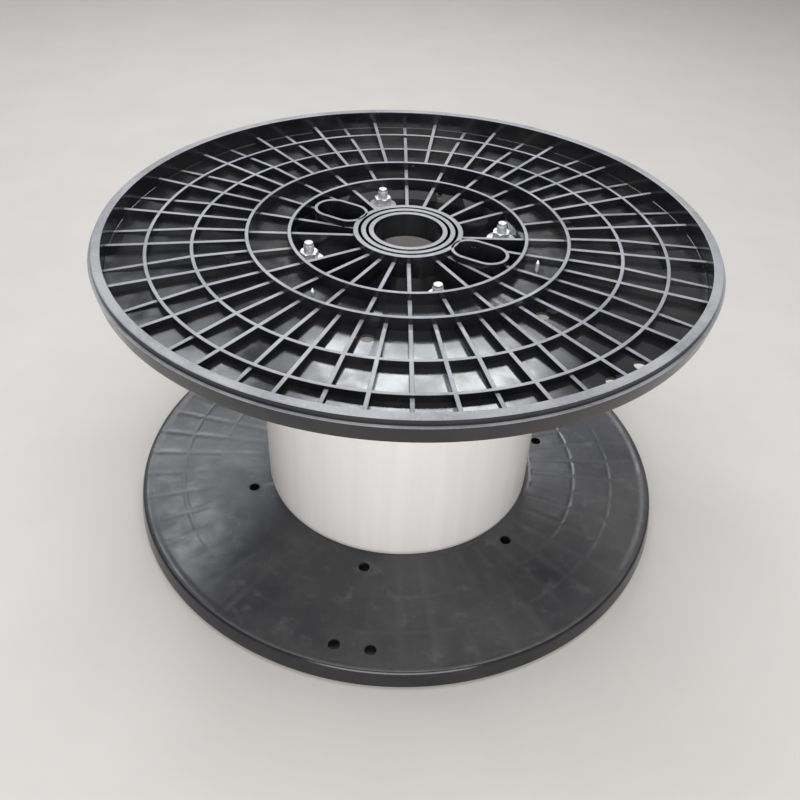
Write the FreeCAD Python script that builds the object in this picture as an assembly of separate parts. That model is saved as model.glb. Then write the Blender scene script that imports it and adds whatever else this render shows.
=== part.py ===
"""Bolted plastic cable reel, standing on its lower flange.

Two ribbed flanges of one moulding are clamped against the ends of a smooth tube, the barrel, by
four threaded rods with a nut and a washer at each end.  Millimetres, +Z up along the reel's axis,
origin in the middle of the face it stands on.
"""
import FreeCAD, Part
import math
import os

Vector = FreeCAD.Vector

# ---- whole reel -------------------------------------------------------------------------------
REEL_HEIGHT = 396.0
FLANGE_DIAMETER = 710.0
BARREL_DIAMETER = 360.0
BARREL_WALL = 6.0
BORE_DIAMETER = 80.0

# ---- flange, measured down from its outer (ribbed) plane ---------------------------------------
RIM_DEPTH = 28.0          # outer plane to the edge that faces the cable
FACE_DEPTH = 27.0         # outer plane to the smooth face that the cable lies on
WEB_THICKNESS = 3.0
WALL = 4.0                # rings
RIB_WALL = 4.6
HUB_SINK = 13.0           # the floor inside the first ring lies this much deeper than the web
RIM_WIDTH = 10.5
RIM_TOP_ROUND = 1.5
RIM_INNER_ROUND = 4.5
LIP_DEPTH = 7.2           # upright band at the outer edge of the rim
LEDGE = 3.5               # step at the foot of that band
RIM_TAPER = 3.5           # the rim draws in by this much towards the cable side
BEAD_WIDTH = 3.0          # flat of the low bead round the smooth face
BEAD_RUN = 6.0            # width of the slope from the bead down to the smooth face

HUB_DROP = 10.5           # the outer plane stands this far above each of these tops
FIRST_RING_DROP = 10.0
SECOND_RING_DROP = 8.5
INNER_RIB_DROP = 18.2
OUTER_RIB_DROP = 16.0

HUB_WALL = 5.8
HUB_GAP = 3.2
HUB_WALLS = 3
FIRST_RING_RADIUS = 137.0
SECOND_RING_RADIUS = 185.0
THIRD_RING_RADIUS = 246.5
FOURTH_RING_RADIUS = 297.0
INNER_RIBS = 24
OUTER_RIBS = 48
LOW_RIB_END = 1.0         # height of the low ribs above the web where they meet the rim

POCKET_RADIUS = 92.0      # the two oblong drive pockets
POCKET_ANGLE = 150.0
POCKET_HALF_RUN = 11.0
POCKET_END_RADIUS = 23.0

CABLE_HOLE_DIAMETER = 14.0
CABLE_HOLE_RADIUS = 206.0
CABLE_HOLE_ANGLES = (11.25, 71.25, 138.75, 198.75, 258.0, 312.0)
RIM_HOLE_RADIUS = 323.0
RIM_HOLE_ANGLES = (305.8, 313.25)
LOWER_FLANGE_TURN = -150.0

# ---- tie rods ---------------------------------------------------------------------------------
ROD_COUNT = 4
ROD_CIRCLE_RADIUS = 117.0
ROD_FIRST_ANGLE = 15.0
ROD_DIAMETER = 12.0
ROD_CHAMFER = 1.0
ROD_HOLE_CLEARANCE = 0.5
THREAD_CLEARANCE = 0.1
WASHER_DIAMETER = 34.0
WASHER_THICKNESS = 2.5
WASHER_CLEARANCE = 0.3
NUT_ACROSS_FLATS = 19.0
NUT_HEIGHT = 10.0
NUT_CHAMFER_ANGLE = 30.0
ROD_STANDOUT = 11.0       # rod end beyond the nut

# ---- two steel pins in the outer face of the upper flange --------------------------------------
PIN_DIAMETER = 4.0
PIN_HEIGHT = 13.0
PIN_POINT = 3.0
PIN_PLACES = ((167.0, 232.7), (156.0, 336.6))

# ---- worked out from the values above ----------------------------------------------------------
FLANGE_RADIUS = FLANGE_DIAMETER / 2
BORE_RADIUS = BORE_DIAMETER / 2
LIP_RADIUS = FLANGE_RADIUS - LEDGE
RIM_INSIDE = LIP_RADIUS - RIM_WIDTH
WEB_DEPTH = FACE_DEPTH - WEB_THICKNESS
HUB_FLOOR_DEPTH = WEB_DEPTH + HUB_SINK
HUB_UNDERSIDE = FACE_DEPTH + HUB_SINK
HUB_PITCH = HUB_WALL + HUB_GAP
HUB_RADIUS = BORE_RADIUS + HUB_WALLS * HUB_WALL + (HUB_WALLS - 1) * HUB_GAP
HALF_WALL = WALL / 2
HALF_RIB = RIB_WALL / 2
ROD_RADIUS = ROD_DIAMETER / 2
ROD_ANGLES = [ROD_FIRST_ANGLE + 360.0 / ROD_COUNT * i for i in range(ROD_COUNT)]
BARREL_BASE = FACE_DEPTH
BARREL_LENGTH = REEL_HEIGHT - 2 * FACE_DEPTH
ROD_END_DEPTH = HUB_FLOOR_DEPTH - WASHER_THICKNESS - NUT_HEIGHT - ROD_STANDOUT
CUT_OVER = 5.0            # how far a cutting shape runs past the stock
UP = Vector(0, 0, 1)
CENTRE = Vector(0, 0, 0)


def at(radius, angle, z=0.0):
    """Point at a radius and an angle in degrees."""
    turn = math.radians(angle)
    return Vector(radius * math.cos(turn), radius * math.sin(turn), z)


def turned(edges):
    """Solid turned about Z from a closed loop of edges in the XZ plane."""
    return Part.Face(Part.Wire(edges)).revolve(CENTRE, UP, 360)


def lines(points):
    """Straight edges through points given as (radius, height)."""
    places = [Vector(radius, 0, height) for radius, height in points]
    return [Part.LineSegment(a, b).toShape() for a, b in zip(places, places[1:])]


def corner_arc(centre_radius, centre_height, radius, start, end):
    """Quarter round in the XZ plane between two angles in degrees."""
    spots = []
    for angle in (start, (start + end) / 2, end):
        turn = math.radians(angle)
        spots.append(Vector(centre_radius + radius * math.cos(turn), 0,
                            centre_height + radius * math.sin(turn)))
    return Part.Arc(*spots).toShape()


def pipe(outer_radius, inner_radius, length, base):
    """Plain tube on the Z axis."""
    outside = Part.makeCylinder(outer_radius, length, Vector(0, 0, base))
    inside = Part.makeCylinder(inner_radius, length + 2 * CUT_OVER, Vector(0, 0, base - CUT_OVER))
    return outside.cut(inside)


def hub_profile():
    """Tops of the three hub walls and the slots between them, from the bore outwards."""
    points = []
    for i in range(HUB_WALLS):
        inner = BORE_RADIUS + i * HUB_PITCH
        outer = inner + HUB_WALL
        points += [(inner, -HUB_DROP), (outer, -HUB_DROP)]
        if i < HUB_WALLS - 1:
            points += [(outer, -HUB_FLOOR_DEPTH), (outer + HUB_GAP, -HUB_FLOOR_DEPTH)]
    return points


def ring_profile():
    """Tops of the rib fields and of the two rings that stand above them."""
    first, second = FIRST_RING_RADIUS, SECOND_RING_RADIUS
    return [(HUB_RADIUS, -INNER_RIB_DROP),
            (first - HALF_WALL, -INNER_RIB_DROP),
            (first - HALF_WALL, -FIRST_RING_DROP),
            (first + HALF_WALL, -FIRST_RING_DROP),
            (first + HALF_WALL, -INNER_RIB_DROP),
            (second - HALF_WALL, -INNER_RIB_DROP),
            (second - HALF_WALL, -SECOND_RING_DROP),
            (second + HALF_WALL, -SECOND_RING_DROP),
            (second + HALF_WALL, -OUTER_RIB_DROP),
            (RIM_INSIDE, -OUTER_RIB_DROP)]


def flange_blank():
    """Flange turned to its section, before the cells between the ribs are taken out."""
    foot_radius = FLANGE_RADIUS - RIM_TAPER
    arc_radius = foot_radius - RIM_INNER_ROUND
    arc_height = -RIM_DEPTH + RIM_INNER_ROUND
    bead = arc_radius - BEAD_WIDTH
    upper = hub_profile() + ring_profile() + [(RIM_INSIDE, 0), (LIP_RADIUS - RIM_TOP_ROUND, 0)]
    outside = [(LIP_RADIUS, -RIM_TOP_ROUND), (LIP_RADIUS, -LIP_DEPTH),
               (FLANGE_RADIUS, -LIP_DEPTH), (foot_radius, arc_height)]
    sink_radius = FIRST_RING_RADIUS + HALF_WALL
    under = [(arc_radius, -RIM_DEPTH), (bead, -RIM_DEPTH), (bead - BEAD_RUN, -FACE_DEPTH),
             (sink_radius, -FACE_DEPTH), (sink_radius, -HUB_UNDERSIDE),
             (BORE_RADIUS, -HUB_UNDERSIDE), (BORE_RADIUS, -HUB_DROP)]
    top_round = corner_arc(LIP_RADIUS - RIM_TOP_ROUND, -RIM_TOP_ROUND, RIM_TOP_ROUND, 90, 0)
    foot_round = corner_arc(arc_radius, arc_height, RIM_INNER_ROUND, 0, -90)
    return turned(lines(upper) + [top_round] + lines(outside) + [foot_round] + lines(under))


def cell(inner, outer, start, end, floor):
    """Pocket between two rings and two radial ribs of even thickness, from its floor upwards."""
    def side(radius, angle, hand):
        return at(radius, angle + hand * math.degrees(math.asin(HALF_RIB / radius)), -floor)

    middle = (start + end) / 2
    a, b = side(inner, start, 1), side(outer, start, 1)
    c, d = side(outer, end, -1), side(inner, end, -1)
    edges = [Part.LineSegment(a, b).toShape(),
             Part.Arc(b, at(outer, middle, -floor), c).toShape(),
             Part.LineSegment(c, d).toShape(),
             Part.Arc(d, at(inner, middle, -floor), a).toShape()]
    return Part.Face(Part.Wire(edges)).extrude(Vector(0, 0, floor + CUT_OVER))


def cells(inner, outer, ribs, floor, without=()):
    """Ring of cells; a rib whose angle is in `without` is left out."""
    step = 360.0 / ribs
    angles = [step * i for i in range(ribs) if step * i not in without]
    ends = angles[1:] + [angles[0] + 360.0]
    return [cell(inner, outer, start, end, floor) for start, end in zip(angles, ends)]


def oblong(end_radius, base, height, angle):
    """Upright prism with round ends, long way along the radius at the given angle."""
    run = POCKET_HALF_RUN
    body = Part.makeBox(2 * run, 2 * end_radius, height, Vector(POCKET_RADIUS - run, -end_radius, base))
    for end in (-run, run):
        body = body.fuse(Part.makeCylinder(end_radius, height, Vector(POCKET_RADIUS + end, 0, base)))
    body = body.removeSplitter()
    body.rotate(CENTRE, UP, angle)
    return body


def low_rib_cut(inner, outer, angle):
    """Wedge that lowers one rib, sloping from the third ring down to the rim."""
    start = THIRD_RING_RADIUS + HALF_WALL
    fall = (WEB_DEPTH - LOW_RIB_END - OUTER_RIB_DROP) / (RIM_INSIDE - start)
    above = CUT_OVER - OUTER_RIB_DROP
    loop = lines([(inner, above), (outer, above),
                  (outer, -OUTER_RIB_DROP - fall * (outer - start)),
                  (inner, -OUTER_RIB_DROP - fall * (inner - start)), (inner, above)])
    spread = math.degrees(math.asin(RIB_WALL / inner))
    wedge = Part.Face(Part.Wire(loop)).revolve(CENTRE, UP, 2 * spread)
    wedge.rotate(CENTRE, UP, angle - spread)
    return wedge


def low_rib_cuts():
    """Every second outer rib is a low one beyond the third ring."""
    third, fourth = THIRD_RING_RADIUS, FOURTH_RING_RADIUS
    cuts = []
    for i in range(0, OUTER_RIBS, 2):
        angle = 360.0 / OUTER_RIBS * i
        cuts.append(low_rib_cut(third + HALF_WALL, fourth - HALF_WALL, angle))
        cuts.append(low_rib_cut(fourth + HALF_WALL, RIM_INSIDE, angle))
    return cuts


def web_hole(radius, angle, hole_radius, underside):
    """Drill through the floor at one place."""
    depth = WEB_THICKNESS + CUT_OVER
    return Part.makeCylinder(hole_radius, depth, at(radius, angle, -underside - CUT_OVER / 2))


def web_holes():
    """Holes for the tie rods and for the cable's ends."""
    rod_radius = ROD_RADIUS + ROD_HOLE_CLEARANCE
    drills = [web_hole(ROD_CIRCLE_RADIUS, a, rod_radius, HUB_UNDERSIDE) for a in ROD_ANGLES]
    cable_radius = CABLE_HOLE_DIAMETER / 2
    drills += [web_hole(CABLE_HOLE_RADIUS, a, cable_radius, FACE_DEPTH) for a in CABLE_HOLE_ANGLES]
    drills += [web_hole(RIM_HOLE_RADIUS, a, cable_radius, FACE_DEPTH) for a in RIM_HOLE_ANGLES]
    return drills


def flange():
    """One flange in its own frame: outer plane at z = 0, smooth face below."""
    rings = [FIRST_RING_RADIUS, SECOND_RING_RADIUS, THIRD_RING_RADIUS, FOURTH_RING_RADIUS]
    pocket_angles = (POCKET_ANGLE, POCKET_ANGLE + 180.0)
    wall_height = HUB_FLOOR_DEPTH - HUB_DROP
    walls = [oblong(POCKET_END_RADIUS, -HUB_FLOOR_DEPTH, wall_height, a) for a in pocket_angles]
    hub_guard = Part.makeCylinder(HUB_RADIUS, HUB_UNDERSIDE, Vector(0, 0, -HUB_UNDERSIDE))

    hub_cells = cells(HUB_RADIUS, rings[0] - HALF_WALL, INNER_RIBS, HUB_FLOOR_DEPTH, ROD_ANGLES)
    hub_cells = [c.cut(Part.makeCompound(walls)) for c in hub_cells]
    outer_cells = cells(rings[0] + HALF_WALL, rings[1] - HALF_WALL, INNER_RIBS, WEB_DEPTH)
    for inner, outer in ((rings[1], rings[2]), (rings[2], rings[3])):
        outer_cells += cells(inner + HALF_WALL, outer - HALF_WALL, OUTER_RIBS, WEB_DEPTH)
    outer_cells += cells(rings[3] + HALF_WALL, RIM_INSIDE, OUTER_RIBS, WEB_DEPTH)

    body = flange_blank()
    body = body.cut(Part.makeCompound(hub_cells + outer_cells))
    body = body.cut(Part.makeCompound(low_rib_cuts()))
    body = body.fuse(walls)
    for angle in pocket_angles:
        hollow = oblong(POCKET_END_RADIUS - WALL, -HUB_FLOOR_DEPTH, HUB_FLOOR_DEPTH, angle)
        body = body.cut(hollow.cut(hub_guard))
    body = body.cut(Part.makeCompound(web_holes()))
    return body.removeSplitter()


def placed_upper(shape):
    """Flange frame to the top of the reel."""
    moved = shape.copy()
    moved.translate(Vector(0, 0, REEL_HEIGHT))
    return moved


def placed_lower(shape):
    """Flange frame to the foot of the reel: turned over, ribs to the floor."""
    moved = shape.copy()
    moved.rotate(CENTRE, Vector(1, 0, 0), 180)
    moved.rotate(CENTRE, UP, LOWER_FLANGE_TURN)
    return moved


def barrel():
    """Smooth tube clamped between the flanges."""
    radius = BARREL_DIAMETER / 2
    return pipe(radius, radius - BARREL_WALL, BARREL_LENGTH, BARREL_BASE)


def tie_rod(angle):
    """Threaded rod, plain at its thread's outside diameter, with chamfered ends."""
    low, high = ROD_END_DEPTH, REEL_HEIGHT - ROD_END_DEPTH
    tip = ROD_RADIUS - ROD_CHAMFER
    rod = turned(lines([(0, low), (tip, low), (ROD_RADIUS, low + ROD_CHAMFER),
                        (ROD_RADIUS, high - ROD_CHAMFER), (tip, high), (0, high), (0, low)]))
    rod.translate(at(ROD_CIRCLE_RADIUS, angle))
    return rod


def washer(angle, base):
    """Flat washer on the hub's floor."""
    ring = pipe(WASHER_DIAMETER / 2, ROD_RADIUS + WASHER_CLEARANCE, WASHER_THICKNESS, base)
    ring.translate(at(ROD_CIRCLE_RADIUS, angle))
    return ring


def nut(angle, base):
    """Hexagon nut with both faces chamfered at the corners."""
    corner = NUT_ACROSS_FLATS / math.sqrt(3)
    points = [at(corner, 60.0 * i, base) for i in range(7)]
    body = Part.Face(Part.makePolygon(points)).extrude(Vector(0, 0, NUT_HEIGHT))
    drop = (corner - NUT_ACROSS_FLATS / 2) * math.tan(math.radians(NUT_CHAMFER_ANGLE))
    flat, wide = NUT_ACROSS_FLATS / 2, corner
    top = base + NUT_HEIGHT
    body = body.common(turned(lines([(0, base), (flat, base), (wide, base + drop), (wide, top - drop),
                                     (flat, top), (0, top), (0, base)])))
    bore = Part.makeCylinder(ROD_RADIUS + THREAD_CLEARANCE, NUT_HEIGHT + 2 * CUT_OVER,
                             Vector(0, 0, base - CUT_OVER))
    body = body.cut(bore)
    body.rotate(CENTRE, UP, angle)
    body.translate(at(ROD_CIRCLE_RADIUS, angle))
    return body


def pin(radius, angle):
    """Small pointed pin that stands on the upper flange's web."""
    foot = REEL_HEIGHT - WEB_DEPTH
    shank = Part.makeCylinder(PIN_DIAMETER / 2, PIN_HEIGHT - PIN_POINT, at(radius, angle, foot))
    point = Part.makeCone(PIN_DIAMETER / 2, PIN_DIAMETER / 8, PIN_POINT,
                          at(radius, angle, foot + PIN_HEIGHT - PIN_POINT))
    return shank.fuse(point).removeSplitter()


def save(shape, name):
    """One STEP file for one piece."""
    shape.exportStep("parts/" + name + ".step")


def main():
    os.makedirs("parts", exist_ok=True)
    moulding = flange()
    save(placed_upper(moulding), "upper_flange")
    save(placed_lower(moulding), "lower_flange")
    save(barrel(), "barrel")
    upper_seat = REEL_HEIGHT - HUB_FLOOR_DEPTH
    lower_seat = HUB_FLOOR_DEPTH
    for number, angle in enumerate(ROD_ANGLES, 1):
        save(tie_rod(angle), f"tie_rod_{number}")
        save(washer(angle, upper_seat), f"upper_washer_{number}")
        save(nut(angle, upper_seat + WASHER_THICKNESS), f"upper_nut_{number}")
        save(washer(angle, lower_seat - WASHER_THICKNESS), f"lower_washer_{number}")
        save(nut(angle, lower_seat - WASHER_THICKNESS - NUT_HEIGHT), f"lower_nut_{number}")
    for number, (radius, angle) in enumerate(PIN_PLACES, 1):
        save(pin(radius, angle), f"pin_{number}")


main()
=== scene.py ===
"""Looks of the bolted plastic cable reel: moulded flanges, smooth barrel, zinc rods and fittings."""
import bmesh
import bpy
import math
from mathutils import Matrix, Vector


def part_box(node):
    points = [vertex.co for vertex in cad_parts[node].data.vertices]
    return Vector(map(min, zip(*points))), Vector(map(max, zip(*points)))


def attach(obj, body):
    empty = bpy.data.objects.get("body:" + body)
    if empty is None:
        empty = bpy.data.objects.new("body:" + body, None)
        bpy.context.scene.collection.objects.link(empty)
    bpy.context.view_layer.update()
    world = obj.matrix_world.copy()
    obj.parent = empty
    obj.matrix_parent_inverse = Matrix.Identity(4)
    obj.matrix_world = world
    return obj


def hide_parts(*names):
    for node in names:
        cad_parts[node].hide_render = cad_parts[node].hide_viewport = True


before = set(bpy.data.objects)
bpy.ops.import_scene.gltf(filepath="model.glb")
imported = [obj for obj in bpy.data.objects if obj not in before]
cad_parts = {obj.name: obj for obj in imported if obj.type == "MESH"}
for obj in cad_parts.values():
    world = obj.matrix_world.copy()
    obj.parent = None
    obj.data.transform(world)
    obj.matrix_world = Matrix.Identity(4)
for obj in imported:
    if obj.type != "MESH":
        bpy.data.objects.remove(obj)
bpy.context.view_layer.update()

MM = 0.001
UP = Vector((0, 0, 1))
ORIGIN = Vector((0, 0, 0))

# ---- sizes in millimetres, down from a flange's outer plane where they are depths --------------
REEL_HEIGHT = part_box("upper_flange")[1].z / MM
FLANGE_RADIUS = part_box("upper_flange")[1].x / MM
RIM_DEPTH = 28.0
BARREL_RADIUS = 180.0
BARREL_WALL = 6.0
FACE_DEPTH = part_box("barrel")[0].z / MM
WEB_DEPTH = FACE_DEPTH - 3.0
WALL = 4.0
RIB_WALL = 4.6
BELOW_RINGS = 0.2
HUB_SINK = 13.0
HUB_FLOOR = WEB_DEPTH + HUB_SINK
BORE_RADIUS = 40.0
HUB_WALL = 5.8
HUB_PITCH = 9.0
HUB_RADIUS = BORE_RADIUS + 2 * HUB_PITCH + HUB_WALL
HUB_DROP = 10.5
INNER_RIB_DROP = 18.2
OUTER_RIB_DROP = 16.0
RINGS = ((137.0, 10.0), (185.0, 8.5), (246.5, OUTER_RIB_DROP), (297.0, OUTER_RIB_DROP))
LIP_RADIUS = FLANGE_RADIUS - 3.5
LIP_DEPTH = 7.2
RIM_INSIDE = LIP_RADIUS - 10.5
RIM_TAPER = 3.5
RIM_TOP_ROUND = 1.5
RIM_INNER_ROUND = 4.5
BEAD_WIDTH = 3.0
BEAD_RUN = 6.0
LOW_RIB_END = 1.0
POCKET_RADIUS = 92.0
POCKET_ANGLES = (150.0, 330.0)
POCKET_HALF_RUN = 11.0
POCKET_END_RADIUS = 23.0
ROD_CIRCLE = 117.0
ROD_ANGLES = (15.0, 105.0, 195.0, 285.0)
ROD_HOLE_RADIUS = 6.5
CABLE_HOLE_RADIUS = 7.0
CABLE_HOLES = [(206.0, a) for a in (11.25, 71.25, 138.75, 198.75, 258.0, 312.0)]
CABLE_HOLES += [(323.0, a) for a in (305.8, 313.25)]
LOWER_FLANGE_TURN = -150.0
ROUND_STEPS = 240
SMOOTH_ANGLE = math.radians(38)


# ---- mesh helpers ------------------------------------------------------------------------------
def at(radius, angle, height=0.0):
    """Point in metres from millimetres and degrees."""
    turn = math.radians(angle)
    return Vector((radius * math.cos(turn), radius * math.sin(turn), height)) * MM


def turned(bm, points, rounds=(), steps=ROUND_STEPS):
    """Ring turned from a closed outline; `rounds` gives (point number, corner radius) pairs."""
    shape = bmesh.new()
    corners = [shape.verts.new(at(radius, 0, height)) for radius, height in points]
    shape.faces.new(corners)
    for number, radius in rounds:
        bmesh.ops.bevel(shape, geom=[corners[number]], affect="VERTICES", offset=radius * MM,
                        segments=3, profile=0.5, material=-1)
    bmesh.ops.delete(shape, geom=shape.faces[:], context="FACES_ONLY")
    bmesh.ops.spin(shape, geom=shape.verts[:] + shape.edges[:], cent=ORIGIN, axis=UP,
                   angle=math.tau, steps=steps, use_merge=True)
    bmesh.ops.remove_doubles(shape, verts=shape.verts[:], dist=1e-6)
    bmesh.ops.recalc_face_normals(shape, faces=shape.faces[:])
    pour(bm, shape)


def swing(shape, angle):
    """Turn a whole shape about the reel's axis."""
    turn = Matrix.Rotation(math.radians(angle), 3, "Z")
    bmesh.ops.rotate(shape, verts=shape.verts[:], cent=ORIGIN, matrix=turn)


def pour(bm, shape):
    """Move one finished shape into a bigger mesh."""
    holder = bpy.data.meshes.new("holder")
    shape.to_mesh(holder)
    shape.free()
    bm.from_mesh(holder)
    bpy.data.meshes.remove(holder)


def finished(name, bm, materials, paint=None):
    """Object from a mesh, smooth with sharp edges kept; `paint` picks a material for a face."""
    if paint:
        for face in bm.faces:
            face.material_index = paint(face)
    mesh = bpy.data.meshes.new(name)
    bm.to_mesh(mesh)
    bm.free()
    for material in materials:
        mesh.materials.append(material)
    mesh.shade_smooth()
    mesh.set_sharp_from_angle(angle=SMOOTH_ANGLE)
    piece = bpy.data.objects.new(name, mesh)
    bpy.context.scene.collection.objects.link(piece)
    weights = piece.modifiers.new("face_weights", "WEIGHTED_NORMAL")
    weights.keep_sharp = True
    return piece


# ---- material helpers --------------------------------------------------------------------------
class Recipe:
    """A material and short ways to add the nodes it is made of."""

    def __init__(self, name, roughness, metallic=0.0, specular=0.5):
        self.material = bpy.data.materials.new(name)
        self.material.use_nodes = True
        self.tree = self.material.node_tree
        self.shader = self.tree.nodes["Principled BSDF"]
        self.shader.inputs["Roughness"].default_value = roughness
        self.shader.inputs["Metallic"].default_value = metallic
        self.shader.inputs["Specular IOR Level"].default_value = specular
        self.place = self.node("ShaderNodeTexCoord").outputs["Object"]

    def node(self, kind, **settings):
        made = self.tree.nodes.new(kind)
        for key, value in settings.items():
            setattr(made, key, value)
        return made

    def link(self, source, target):
        self.tree.links.new(source, target)

    def stretched(self, scale):
        """Object coordinates scaled along X, Y and Z."""
        mapping = self.node("ShaderNodeMapping")
        mapping.inputs["Scale"].default_value = scale
        self.link(self.place, mapping.inputs["Vector"])
        return mapping.outputs["Vector"]

    def noise(self, scale, detail=4.0, roughness=0.55, place=None, distortion=0.0):
        made = self.node("ShaderNodeTexNoise")
        made.inputs["Scale"].default_value = scale
        made.inputs["Detail"].default_value = detail
        made.inputs["Roughness"].default_value = roughness
        made.inputs["Distortion"].default_value = distortion
        self.link(place or self.place, made.inputs["Vector"])
        return made.outputs["Fac"]

    def ramp(self, value, low, high, start=0.0, end=1.0):
        """Value between two limits turned into a smooth share from start to end."""
        made = self.node("ShaderNodeMapRange", interpolation_type="SMOOTHSTEP")
        for key, number in (("From Min", low), ("From Max", high), ("To Min", start), ("To Max", end)):
            made.inputs[key].default_value = number
        self.link(value, made.inputs["Value"])
        return made.outputs["Result"]

    def math(self, operation, first, second=None):
        made = self.node("ShaderNodeMath", operation=operation)
        for socket, value in zip(made.inputs, (first, second)):
            if value is None:
                continue
            if isinstance(value, (int, float)):
                socket.default_value = value
            else:
                self.link(value, socket)
        return made.outputs["Value"]

    def mix(self, share, first, second):
        """Blend of two colours."""
        made = self.node("ShaderNodeMix", data_type="RGBA")
        self.link(share, made.inputs["Factor"])
        for socket, value in ((made.inputs["A"], first), (made.inputs["B"], second)):
            if isinstance(value, tuple):
                socket.default_value = value + (1.0,)
            else:
                self.link(value, socket)
        return made.outputs["Result"]

    def axis(self, number):
        """One of the object's coordinates, in metres."""
        made = self.node("ShaderNodeSeparateXYZ")
        self.link(self.place, made.inputs["Vector"])
        return made.outputs[number]

    def radius(self):
        return self.math("SQRT", self.math("ADD", self.math("POWER", self.axis(0), 2.0),
                                           self.math("POWER", self.axis(1), 2.0)))

    def turn(self):
        return self.math("ARCTAN2", self.axis(1), self.axis(0))

    def bump(self, height, strength, distance):
        made = self.node("ShaderNodeBump")
        made.inputs["Strength"].default_value = strength
        made.inputs["Distance"].default_value = distance
        self.link(height, made.inputs["Height"])
        self.link(made.outputs["Normal"], self.shader.inputs["Normal"])

    def colour(self, value):
        self.link(value, self.shader.inputs["Base Color"])

    def roughness(self, value):
        self.link(value, self.shader.inputs["Roughness"])


def scratches(recipe, scale, stretch, angle, keep):
    """Thin broken lines: a stretched noise cut to a narrow band."""
    mapping = recipe.node("ShaderNodeMapping")
    mapping.inputs["Scale"].default_value = stretch
    mapping.inputs["Rotation"].default_value = (0.0, 0.0, math.radians(angle))
    recipe.link(recipe.place, mapping.inputs["Vector"])
    lines = recipe.noise(scale, 6.0, 0.7, mapping.outputs["Vector"])
    patches = recipe.ramp(recipe.noise(9.0, 3.0), 0.48, 0.62)
    return recipe.math("MULTIPLY", recipe.ramp(lines, keep, keep + 0.05), patches)


def black_moulding():
    """Black polyolefin with patches of dust and small scuffs."""
    recipe = Recipe("black_moulding", 0.38)
    cloudy = recipe.ramp(recipe.noise(14.0, 5.0, 0.6), 0.35, 0.7)
    base = recipe.mix(cloudy, (0.006, 0.006, 0.008), (0.015, 0.0135, 0.014))
    dust = recipe.ramp(recipe.noise(55.0, 8.0, 0.7), 0.54, 0.76)
    base = recipe.mix(recipe.math("MULTIPLY", dust, 0.09), base, (0.14, 0.13, 0.12))
    marks = scratches(recipe, 90.0, (0.35, 6.0, 1.0), 24.0, 0.66)
    base = recipe.mix(recipe.math("MULTIPLY", marks, 0.4), base, (0.22, 0.22, 0.22))
    recipe.colour(base)
    recipe.roughness(recipe.ramp(recipe.noise(30.0, 6.0), 0.3, 0.7, 0.11, 0.26))
    recipe.bump(recipe.noise(500.0, 4.0, 0.6), 0.05, 0.0003)
    return recipe.material


def sheen_and_wear_tops():
    """Tops of ribs, rings and rim: painted sheen as a grey far lighter than the walls, rubbed and dusty,
    patchier than the walls.
    """
    recipe = Recipe("sheen_and_wear_tops", 0.42)
    # Painted sheen: the base greys stand in for the bright reflection the upward tops catch; grit and rubbed
    # patches below are wear.
    cloudy = recipe.ramp(recipe.noise(10.0, 6.0, 0.62), 0.32, 0.68)
    base = recipe.mix(cloudy, (0.17, 0.172, 0.185), (0.29, 0.29, 0.305))
    grit = recipe.ramp(recipe.noise(240.0, 6.0, 0.7), 0.45, 0.75)
    base = recipe.mix(recipe.math("MULTIPLY", grit, 0.5), base, (0.36, 0.36, 0.37))
    rubbed = recipe.ramp(recipe.noise(38.0, 7.0, 0.7, distortion=0.6), 0.60, 0.68)
    base = recipe.mix(recipe.math("MULTIPLY", rubbed, 0.5), base, (0.14, 0.14, 0.15))
    recipe.colour(base)
    recipe.roughness(recipe.ramp(recipe.noise(80.0, 6.0), 0.3, 0.7, 0.32, 0.58))
    recipe.bump(recipe.noise(420.0, 6.0, 0.65), 0.25, 0.0004)
    return recipe.material


def smooth_face():
    """Face that the cable lies on: sink marks of the ribs behind it show through the gloss as bumps, with
    painted sheen lighter along them.
    """
    recipe = Recipe("smooth_face", 0.34)
    radius = recipe.radius()
    turns = recipe.math("MULTIPLY", recipe.turn(), 48.0 / math.tau)
    off_rib = recipe.math("MULTIPLY", recipe.math("PINGPONG", turns, 0.5), radius)
    rib_mark = recipe.ramp(off_rib, 0.0, 0.060, 1.0, 0.0)
    outer = recipe.ramp(radius, 0.186, 0.192)
    sink = recipe.math("MULTIPLY", rib_mark, outer)
    for ring_radius, _ in RINGS[1:]:
        off_ring = recipe.math("ABSOLUTE", recipe.math("SUBTRACT", radius, ring_radius * MM))
        sink = recipe.math("MAXIMUM", sink, recipe.ramp(off_ring, 0.0, 0.0045, 1.0, 0.0))
    broken = recipe.ramp(recipe.noise(7.0, 3.0), 0.35, 0.62)
    sink = recipe.math("MULTIPLY", sink, broken)
    cloudy = recipe.ramp(recipe.noise(9.0, 6.0, 0.62), 0.34, 0.7)
    base = recipe.mix(cloudy, (0.030, 0.030, 0.033), (0.060, 0.058, 0.060))
    # Painted sheen: the face is tinted lighter along the sink marks, standing in for light caught by the
    # shallow dips; the bump below makes the dips.
    base = recipe.mix(recipe.math("MULTIPLY", sink, 0.14), base, (0.12, 0.125, 0.13))
    dust = recipe.ramp(recipe.noise(42.0, 8.0, 0.7), 0.53, 0.74)
    base = recipe.mix(recipe.math("MULTIPLY", dust, 0.30), base, (0.19, 0.185, 0.18))
    marks = scratches(recipe, 70.0, (0.3, 7.0, 1.0), 63.0, 0.66)
    base = recipe.mix(recipe.math("MULTIPLY", marks, 0.35), base, (0.22, 0.22, 0.22))
    recipe.colour(base)
    recipe.roughness(recipe.ramp(recipe.noise(20.0, 6.0), 0.3, 0.7, 0.28, 0.44))
    relief = recipe.math("SUBTRACT", recipe.noise(26.0, 3.0), recipe.math("MULTIPLY", sink, 0.6))
    recipe.bump(relief, 0.55, 0.0011)
    return recipe.material


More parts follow.
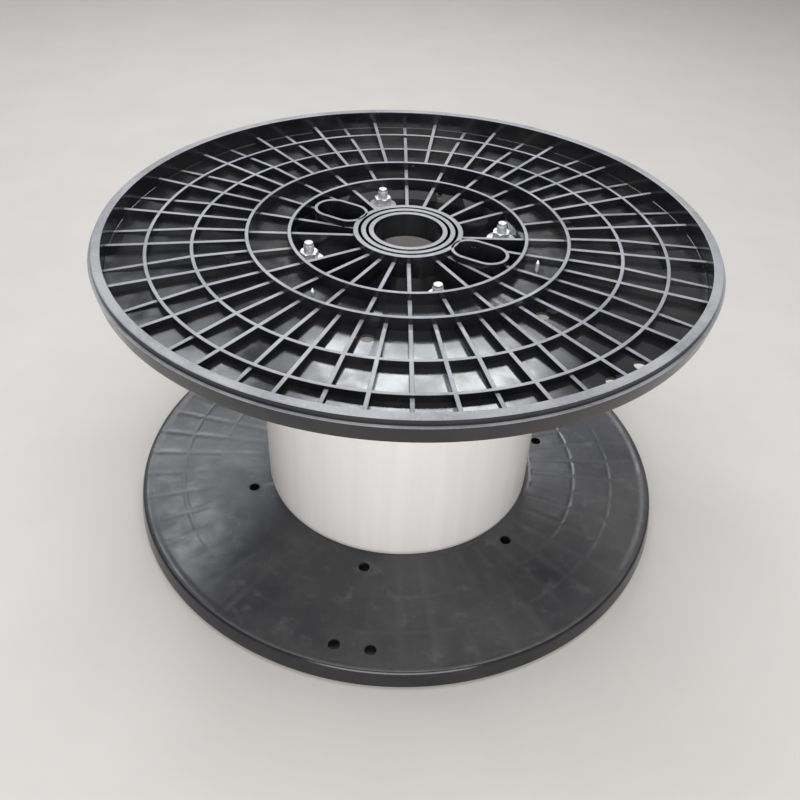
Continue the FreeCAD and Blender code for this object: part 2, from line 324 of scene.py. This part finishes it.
def white_tube():
    """Smooth white extruded tube with faint handling marks, darker at its foot and with painted shade at its
    head under the upper flange.
    """
    recipe = Recipe("white_tube", 0.36)
    drawn = recipe.noise(60.0, 4.0, 0.5, recipe.stretched((1.0, 1.0, 0.04)))
    base = recipe.mix(recipe.ramp(drawn, 0.3, 0.7), (0.87, 0.855, 0.84), (0.91, 0.90, 0.885))
    smudge = recipe.ramp(recipe.noise(11.0, 7.0, 0.65), 0.58, 0.80)
    base = recipe.mix(recipe.math("MULTIPLY", smudge, 0.16), base, (0.66, 0.64, 0.61))
    height = recipe.axis(2)
    # Darker at the foot: the bottom 7 mm of the tube, above the lower flange's face.
    foot = recipe.ramp(height, FACE_DEPTH * MM, (FACE_DEPTH + 7.0) * MM, 1.0, 0.0)
    # Painted shade: the top 10 to 26 mm of the tube, under the upper flange, fade to dark as if shaded by it.
    head_painted_shade = recipe.ramp(height, (REEL_HEIGHT - FACE_DEPTH - 26.0) * MM, (REEL_HEIGHT - FACE_DEPTH - 10.0) * MM)
    ends = recipe.math("MAXIMUM", recipe.math("MULTIPLY", foot, 0.7), head_painted_shade)
    # Foot darkening and the painted shade at the head, broken by noise, blend towards dark brown.
    darkening = recipe.math("MULTIPLY", ends, recipe.ramp(recipe.noise(45.0, 6.0, 0.7), 0.2, 0.7, 0.6, 1.0))
    base = recipe.mix(recipe.math("MULTIPLY", darkening, 0.75), base, (0.20, 0.19, 0.175))
    recipe.colour(base)
    glow = recipe.node("ShaderNodeBsdfTranslucent")
    recipe.link(base, glow.inputs["Color"])
    blend = recipe.node("ShaderNodeMixShader")
    blend.inputs["Fac"].default_value = 0.45
    recipe.link(recipe.shader.outputs["BSDF"], blend.inputs[1])
    recipe.link(glow.outputs["BSDF"], blend.inputs[2])
    recipe.link(blend.outputs["Shader"], recipe.tree.nodes["Material Output"].inputs["Surface"])
    recipe.roughness(recipe.ramp(recipe.noise(25.0, 5.0), 0.3, 0.7, 0.30, 0.46))
    recipe.bump(drawn, 0.06, 0.0005)
    return recipe.material


def zinc(name, dark, pale, roughness):
    """Zinc plated steel with a mottled white bloom."""
    recipe = Recipe(name, roughness, metallic=0.55)
    mottle = recipe.ramp(recipe.noise(260.0, 6.0, 0.65), 0.35, 0.68)
    base = recipe.mix(mottle, dark, pale)
    darkening = recipe.ramp(recipe.noise(120.0, 5.0, 0.6), 0.60, 0.76)
    recipe.colour(recipe.mix(recipe.math("MULTIPLY", darkening, 0.5), base, (0.30, 0.28, 0.25)))
    recipe.roughness(recipe.ramp(recipe.noise(340.0, 4.0), 0.3, 0.7, roughness - 0.08, roughness + 0.14))
    recipe.bump(recipe.noise(900.0, 4.0), 0.15, 0.0002)
    return recipe.material


# ---- flanges -----------------------------------------------------------------------------------
def flange_body(bm):
    """Web, rim and bead turned as one outline."""
    foot = FLANGE_RADIUS - RIM_TAPER
    bead = foot - RIM_INNER_ROUND - BEAD_WIDTH
    sink = RINGS[0][0] + WALL / 2
    points = [(BORE_RADIUS, -FACE_DEPTH - HUB_SINK), (sink, -FACE_DEPTH - HUB_SINK), (sink, -FACE_DEPTH),
              (bead - BEAD_RUN, -FACE_DEPTH), (bead, -RIM_DEPTH),
              (foot, -RIM_DEPTH), (FLANGE_RADIUS, -LIP_DEPTH), (LIP_RADIUS, -LIP_DEPTH),
              (LIP_RADIUS, 0.0), (RIM_INSIDE, 0.0), (RIM_INSIDE, -WEB_DEPTH), (sink - WALL, -WEB_DEPTH),
              (sink - WALL, -HUB_FLOOR), (BORE_RADIUS, -HUB_FLOOR)]
    turned(bm, points, ((1, 1.0), (3, 2.0), (4, 1.5), (5, RIM_INNER_ROUND), (6, 0.3), (8, RIM_TOP_ROUND),
                        (9, 1.2), (10, 1.5)))


def round_wall(bm, middle, thickness, drop, floor=WEB_DEPTH):
    """Upright ring with rounded top corners, its foot sunk in the floor."""
    inner, outer, foot = middle - thickness / 2, middle + thickness / 2, -floor - 1.0
    turned(bm, [(inner, foot), (outer, foot), (outer, -drop), (inner, -drop)], ((2, 0.6), (3, 0.6)))


def rib(bm, start, end, angle, drop, end_drop=None, floor=WEB_DEPTH):
    """Radial rib from ring to ring, a little thinner at its top, which may slope."""
    shape = bmesh.new()
    bmesh.ops.create_cube(shape, size=1.0)
    low, high = -floor - 1.0, -drop - BELOW_RINGS
    for vert in shape.verts:
        top = vert.co.z > 0
        far = vert.co.x > 0
        height = low if not top else (high if not far or end_drop is None else -end_drop)
        width = RIB_WALL * (0.98 if top else 1.06)
        vert.co = Vector((end if far else start, vert.co.y * width, height)) * MM
    top_edges = [edge for edge in shape.edges
                 if all(vert.co.z > (-floor + 0.5) * MM for vert in edge.verts)
                 and abs(edge.verts[0].co.x - edge.verts[1].co.x) > MM]
    bmesh.ops.bevel(shape, geom=top_edges, affect="EDGES", offset=0.6 * MM, segments=3,
                    profile=0.5, material=-1)
    swing(shape, angle)
    pour(bm, shape)


def ribs(bm):
    """All ribs of one flange; every second outer rib falls away to the rim."""
    radii = [ring[0] for ring in RINGS]
    sink = 1.0
    for number in range(48):
        angle = number * 7.5
        if number % 2:
            rib(bm, radii[1] + sink, RIM_INSIDE + sink, angle, OUTER_RIB_DROP)
            continue
        rib(bm, radii[1] + sink, radii[2] + sink, angle, OUTER_RIB_DROP)
        rib(bm, radii[2] + WALL / 2, RIM_INSIDE + sink, angle, OUTER_RIB_DROP, WEB_DEPTH - LOW_RIB_END)
        rib(bm, radii[0] + sink, radii[1] - sink, angle, INNER_RIB_DROP)
        if angle not in ROD_ANGLES:
            hub_rib(bm, angle, radii[0])


def hub_rib(bm, angle, ring):
    """Rib from the hub to the first ring, stopping at an oblong pocket that lies across it."""
    spans = [(HUB_RADIUS - 1.0, ring - 1.0)]
    for pocket in POCKET_ANGLES:
        off = math.radians((angle - pocket + 180.0) % 360.0 - 180.0)
        if abs(off) > math.radians(20.0):
            continue
        reach = POCKET_END_RADIUS - WALL / 2
        near, far = POCKET_RADIUS - POCKET_HALF_RUN, POCKET_RADIUS + POCKET_HALF_RUN
        cuts = []
        for centre in (near, far):
            across = centre * math.sin(off)
            if abs(across) < reach:
                half = math.sqrt(reach ** 2 - across ** 2)
                cuts += [centre * math.cos(off) - half, centre * math.cos(off) + half]
        if cuts:
            spans = [(HUB_RADIUS - 1.0, min(cuts)), (max(cuts), ring - 1.0)]
    for start, end in spans:
        if end - start > 2.0:
            rib(bm, start, end, angle, INNER_RIB_DROP, None, HUB_FLOOR)


def oblong_wall(bm, angle):
    """Round-ended wall swept as two half turns and two straights."""
    shape = bmesh.new()
    centre_line = POCKET_END_RADIUS - WALL / 2
    foot, top = (-HUB_FLOOR - 1.0) * MM, -HUB_DROP * MM
    near = Vector(((POCKET_RADIUS - POCKET_HALF_RUN) * MM, 0, 0))
    far = Vector(((POCKET_RADIUS + POCKET_HALF_RUN) * MM, 0, 0))
    half = WALL / 2 * MM
    section = []
    for off, height in ((-half, foot), (half, foot), (half, top), (-half, top)):
        section.append(shape.verts.new(far + Vector((0, -centre_line * MM + off, height))))
    shape.faces.new(section)
    for number in (2, 3):
        bmesh.ops.bevel(shape, geom=[section[number]], affect="VERTICES", offset=0.8 * MM,
                        segments=3, profile=0.5, material=-1)
    bmesh.ops.delete(shape, geom=shape.faces[:], context="FACES_ONLY")
    loop = shape.verts[:] + shape.edges[:]
    for centre, run in ((far, near - far), (near, far - near)):
        made = bmesh.ops.spin(shape, geom=loop, cent=centre, axis=UP, angle=math.pi, steps=20)
        ends = [e for e in made["geom_last"] if isinstance(e, bmesh.types.BMEdge)]
        made = bmesh.ops.extrude_edge_only(shape, edges=ends)
        verts = [e for e in made["geom"] if isinstance(e, bmesh.types.BMVert)]
        bmesh.ops.translate(shape, verts=verts, vec=run)
        loop = verts + [e for e in made["geom"] if isinstance(e, bmesh.types.BMEdge)
                        and all(v in verts for v in e.verts)]
    bmesh.ops.remove_doubles(shape, verts=shape.verts[:], dist=1e-6)
    bmesh.ops.recalc_face_normals(shape, faces=shape.faces[:])
    swing(shape, angle)
    pour(bm, shape)


def drilled(bm):
    """The turned body with its rod holes and cable holes cut by a boolean."""
    body = finished("flange_stock", bm, [])
    drills = bmesh.new()
    for radius, angle in [(ROD_CIRCLE, a) for a in ROD_ANGLES] + CABLE_HOLES:
        size = ROD_HOLE_RADIUS if radius == ROD_CIRCLE else CABLE_HOLE_RADIUS
        spot = Matrix.Translation(at(radius, angle, -FACE_DEPTH - 5.0))
        bmesh.ops.create_cone(drills, cap_ends=True, segments=32, radius1=size * MM, radius2=size * MM,
                              depth=24.0 * MM, matrix=spot)
    tool = finished("flange_drills", drills, [])
    cut = body.modifiers.new("holes", "BOOLEAN")
    cut.operation = "DIFFERENCE"
    cut.solver = "EXACT"
    cut.object = tool
    ready = body.evaluated_get(bpy.context.evaluated_depsgraph_get())
    mesh = bpy.data.meshes.new_from_object(ready)
    result = bmesh.new()
    result.from_mesh(mesh)
    for thing in (body, tool):
        bpy.data.objects.remove(thing)
    bpy.data.meshes.remove(mesh)
    return result


def moulded_flange():
    """One flange in its own frame as a mesh: outer plane at z = 0."""
    stock = bmesh.new()
    flange_body(stock)
    bm = drilled(stock)
    for number in range(3):
        round_wall(bm, BORE_RADIUS + number * HUB_PITCH + HUB_WALL / 2, HUB_WALL, HUB_DROP, HUB_FLOOR)
    for radius, drop in RINGS:
        round_wall(bm, radius, WALL, drop)
    ribs(bm)
    for angle in POCKET_ANGLES:
        oblong_wall(bm, angle)
    return bm


def flange_paint(face):
    """0 walls and web, 1 tops with painted sheen and wear, 2 the smooth face; judged in the flange's own
    frame.
    """
    height = face.calc_center_median().z / MM
    # Upward faces above the web get the tops material, painted lighter as sheen.
    if face.normal.z > 0.6 and height > -WEB_DEPTH + 0.5:
        return 1
    if face.normal.z < -0.6 and height < -FACE_DEPTH + 0.1:
        return 2
    return 0


def flanges(materials):
    upper = moulded_flange()
    for face in upper.faces:
        face.material_index = flange_paint(face)
    lower = upper.copy()
    bmesh.ops.translate(upper, verts=upper.verts[:], vec=(0, 0, REEL_HEIGHT * MM))
    turn = Matrix.Rotation(math.radians(LOWER_FLANGE_TURN), 3, "Z") @ Matrix.Rotation(math.pi, 3, "X")
    bmesh.ops.rotate(lower, verts=lower.verts[:], cent=ORIGIN, matrix=turn)
    for name, bm in (("upper_flange", upper), ("lower_flange", lower)):
        piece = finished(name + "_moulding", bm, materials)
        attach(piece, "root")
        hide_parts(name)


# ---- barrel and rods ---------------------------------------------------------------------------
def barrel(material):
    bm = bmesh.new()
    base, top = FACE_DEPTH, REEL_HEIGHT - FACE_DEPTH
    inner = BARREL_RADIUS - BARREL_WALL
    turned(bm, [(inner, base), (BARREL_RADIUS, base), (BARREL_RADIUS, top), (inner, top)],
           ((0, 0.6), (1, 0.6), (2, 0.6), (3, 0.6)))
    piece = finished("barrel_tube", bm, [material])
    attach(piece, "root")
    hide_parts("barrel")


THREAD_PITCH = 1.75
THREAD_DEPTH = 0.95
THREAD_STEPS = 16


def threaded_rod(number, angle, material):
    """Rod whose thread is one tooth outline swept up a helix, with domed ends."""
    low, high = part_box(f"tie_rod_{number}")
    base, top = low.z / MM, high.z / MM
    radius = (high.x - low.x) / 2 / MM
    bm = bmesh.new()
    turns = int((top - base - 3.0) / THREAD_PITCH) - 1
    root = radius - THREAD_DEPTH
    start = base + 1.0
    outline = [(root, start), (radius, start + THREAD_PITCH * 0.42), (radius, start + THREAD_PITCH * 0.58),
               (root, start + THREAD_PITCH)]
    verts = [bm.verts.new(at(r, 0, z)) for r, z in outline]
    edges = [bm.edges.new(pair) for pair in zip(verts, verts[1:])]
    bmesh.ops.spin(bm, geom=verts + edges, cent=ORIGIN, axis=UP, angle=math.tau * turns,
                   steps=THREAD_STEPS * turns, dvec=(0, 0, THREAD_PITCH * MM / THREAD_STEPS))
    bmesh.ops.remove_doubles(bm, verts=bm.verts[:], dist=2e-6)
    bmesh.ops.recalc_face_normals(bm, faces=bm.faces[:])
    turned(bm, [(0.001, base), (root - 0.3, base), (root + 0.15, base + 0.6), (root + 0.15, top - 0.6),
                (root - 0.3, top), (0.001, top)], (), 24)
    bmesh.ops.translate(bm, verts=bm.verts[:], vec=at(ROD_CIRCLE, angle))
    piece = finished(f"threaded_rod_{number}", bm, [material])
    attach(piece, "root")
    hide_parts(f"tie_rod_{number}")


def dress(prefixes, material):
    """Give the carried-over nodes whose names start like this their finish."""
    for name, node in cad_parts.items():
        if name.startswith(prefixes):
            node.data.materials.clear()
            node.data.materials.append(material)


# ---- stage -------------------------------------------------------------------------------------
FLOOR_COLOUR = (0.52, 0.505, 0.48)


def floor():
    bm = bmesh.new()
    bmesh.ops.create_grid(bm, x_segments=1, y_segments=1, size=30.0)
    recipe = Recipe("floor_plain", 0.7)
    speckle = recipe.ramp(recipe.noise(6.0, 6.0, 0.6), 0.3, 0.7)
    recipe.colour(recipe.mix(speckle, FLOOR_COLOUR, tuple(0.96 * c for c in FLOOR_COLOUR)))
    piece = finished("floor", bm, [recipe.material])


def soft_light(name, place, target, size, power, colour=(1.0, 1.0, 1.0)):
    lamp = bpy.data.lights.new(name, "AREA")
    lamp.shape = "RECTANGLE"
    lamp.size, lamp.size_y = size
    lamp.energy = power
    lamp.color = colour
    holder = bpy.data.objects.new(name, lamp)
    bpy.context.scene.collection.objects.link(holder)
    holder.location = place
    holder.rotation_euler = (Vector(target) - Vector(place)).to_track_quat("-Z", "Y").to_euler()


def lights():
    world = bpy.data.worlds.new("studio")
    bpy.context.scene.world = world
    world.use_nodes = True
    sky = world.node_tree.nodes["Background"]
    sky.inputs["Color"].default_value = (0.97, 0.98, 1.0, 1.0)
    sky.inputs["Strength"].default_value = 0.38
    soft_light("overhead", (0.0, -0.3, 3.2), (0, -0.3, 0), (3.2, 3.0), 72.0)
    soft_light("window", (0.17, 2.15, 2.18), (0, -0.24, 0.37), (1.0, 0.5), 22.0, (0.96, 0.98, 1.0))
    soft_light("side_window", (-1.0, 2.0, 2.5), (-0.25, 0, 0.03), (0.8, 0.7), 20.0, (0.92, 0.97, 1.0))
    soft_light("front", (0.0, -2.6, 1.1), (0, 0, 0.2), (2.6, 1.6), 72.0)


CAMERA_PLACE = (-0.03109, -0.89041, 0.85468)
CAMERA_TURN = (50.8927, -1.9847, -0.3385)
CAMERA_LENS = 38.338


def camera():
    lens = bpy.data.cameras.new("camera")
    lens.lens = CAMERA_LENS
    lens.sensor_width = 36.0
    holder = bpy.data.objects.new("camera", lens)
    bpy.context.scene.collection.objects.link(holder)
    holder.location = CAMERA_PLACE
    holder.rotation_euler = [math.radians(angle) for angle in CAMERA_TURN]
    bpy.context.scene.camera = holder


camera()
lights()
floor()
flanges([black_moulding(), sheen_and_wear_tops(), smooth_face()])
barrel(white_tube())
rod_finish = zinc("rod_zinc", (0.40, 0.40, 0.41), (0.60, 0.60, 0.60), 0.36)
for rod_number, rod_angle in enumerate(ROD_ANGLES, 1):
    threaded_rod(rod_number, rod_angle, rod_finish)
dress(("upper_nut", "lower_nut"), zinc("nut_zinc", (0.62, 0.62, 0.63), (0.82, 0.82, 0.82), 0.32))
dress(("upper_washer", "lower_washer"), zinc("washer_zinc", (0.72, 0.72, 0.73), (0.90, 0.90, 0.90), 0.34))
dress(("pin",), zinc("pin_steel", (0.80, 0.80, 0.80), (0.92, 0.92, 0.92), 0.28))
bpy.context.scene.view_settings.view_transform = "Standard"
